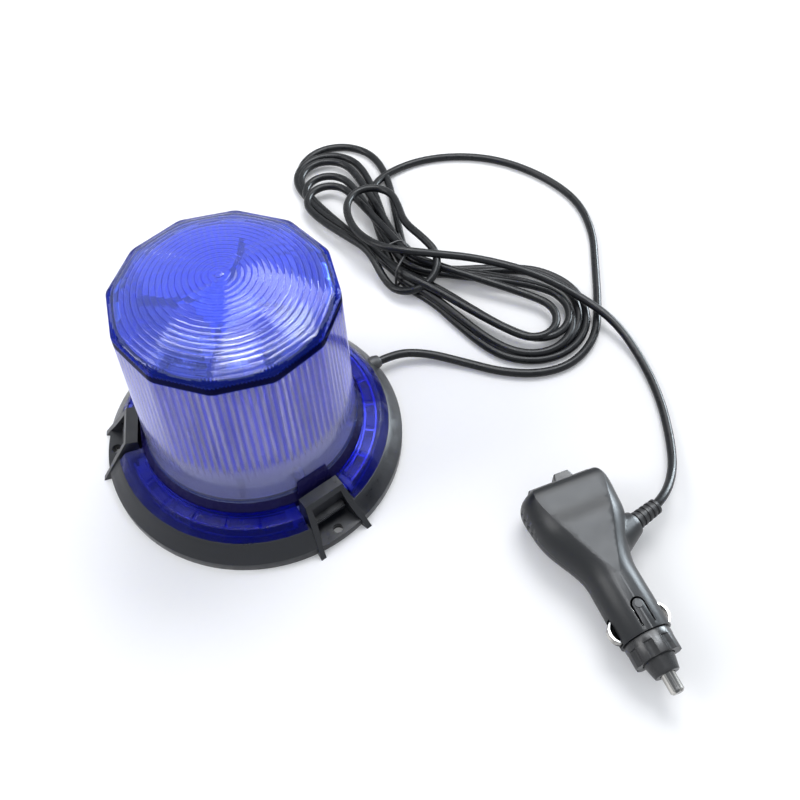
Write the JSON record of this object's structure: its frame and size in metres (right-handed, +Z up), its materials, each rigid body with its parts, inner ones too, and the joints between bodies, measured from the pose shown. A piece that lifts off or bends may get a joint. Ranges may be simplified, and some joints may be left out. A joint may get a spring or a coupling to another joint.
{
  "type": "led warning beacon",
  "caption": "Round blue LED warning beacon with a twelve-sided ringed lens, lugged black base, tied cord and switched 12 V plug.",
  "frame": {"origin": "centre of the base's underside, on the surface it stands on", "axes": "+Z up along the lens axis, -Y towards the side the picture was taken from"},
  "size_m": [0.2553, 0.3138, 0.1065],
  "materials": {
    "housing_black": "moulded satin",
    "cover_black": "moulded satin",
    "seal_rubber": "matt",
    "pad_rubber": "matt",
    "screw_steel": "zinc plated",
    "magnet_nickel": "nickel plated",
    "circuit_board": "solder mask",
    "strip_board": "white solder mask",
    "led_chip": "phosphor dome",
    "driver_ferrite": "moulded",
    "capacitor_can": "drawn can",
    "reflector_chrome": "metallised",
    "reflector_silver": "metallised",
    "lens_blue": "polycarbonate, clear blue",
    "grommet_rubber": "matt",
    "cord_pvc": "satin sheath",
    "tie_wire": "coated wire",
    "plug_black": "fine satin",
    "relief_rubber": "satin",
    "switch_black": "satin",
    "knob_black": "satin",
    "cap_black": "satin",
    "contact_nickel": "nickel plated",
    "fuse_glass": "clear tube",
    "spring_steel": "drawn wire"
  },
  "bodies": {
    "beacon": {"base_housing": "housing_black", "bottom_cover": "cover_black", "lens_gasket": "seal_rubber", "base_pad": "pad_rubber", "cover_screws": "screw_steel", "board_screws": "screw_steel", "tower_screws": "screw_steel", "lens_screws": "screw_steel", "plug_screws": "screw_steel", "base_magnet": "magnet_nickel", "main_board": "circuit_board", "plug_board": "circuit_board", "flange_leds": "led_chip", "driver_inductor": "driver_ferrite", "driver_capacitors": "capacitor_can", "driver_controller": "driver_ferrite", "reflector_tower": "reflector_chrome", "lens": "lens_blue", "cord_grommet": "grommet_rubber", "cord_lead": "cord_pvc", "cord_hank": "cord_pvc", "cord_tail": "cord_pvc", "twist_tie": "tie_wire", "plug_upper_shell": "plug_black", "plug_lower_shell": "plug_black", "strain_relief": "relief_rubber", "switch_plate": "switch_black", "switch_module": "switch_black", "tip_spring": "spring_steel", "flange_reflector_1": "reflector_silver", "flange_reflector_2": "reflector_silver", "flange_reflector_3": "reflector_silver", "led_strip_1": "strip_board", "strip_leds_1": "led_chip", "led_strip_2": "strip_board", "strip_leds_2": "led_chip", "led_strip_3": "strip_board", "strip_leds_3": "led_chip", "led_strip_4": "strip_board", "strip_leds_4": "led_chip"},
    "switch": {"switch_knob": "knob_black"},
    "collar": {"contact_collar": "cap_black"},
    "cap": {"nose_cap": "cap_black"},
    "tip": {"tip_contact": "contact_nickel", "fuse": "fuse_glass"},
    "contact_left": {"side_contact_left": "contact_nickel"},
    "contact_right": {"side_contact_right": "contact_nickel"}
  },
  "joints": [
    {"name": "switch_slide", "type": "slide", "parent": "beacon", "child": "switch", "axis": [-0.9239, -0.3827, 0], "range_m": [0, 0.0068]},
    {"name": "cap_travel", "type": "slide", "parent": "beacon", "child": "collar", "axis": [0.3827, -0.9239, 0], "range_m": [0, 0.00301]},
    {"name": "cap_turn", "type": "hinge", "parent": "collar", "child": "cap", "pos_m": [0.15845, -0.10146, 0.012], "axis": [0.3827, -0.9239, 0], "range_deg": [0, 720]},
    {"name": "tip_press", "type": "slide", "parent": "collar", "child": "tip", "axis": [-0.3827, 0.9239, 0], "range_m": [0, 0.004], "stiffness_N_per_m": 600, "springref_m": -0.003, "deforming": ["tip_spring"]},
    {"name": "left_contact_press", "type": "slide", "parent": "beacon", "child": "contact_left", "axis": [-0.9239, -0.3827, 0], "range_m": [0, 0.0018], "stiffness_N_per_m": 1500, "springref_m": -0.0005},
    {"name": "right_contact_press", "type": "slide", "parent": "beacon", "child": "contact_right", "axis": [0.9239, 0.3827, 0], "range_m": [0, 0.0018], "stiffness_N_per_m": 1500, "springref_m": -0.0005}
  ],
  "couplings": [
    {"joint": "cap_travel", "follows": "cap_turn", "m_per_rad": 0.00023873}
  ]
}
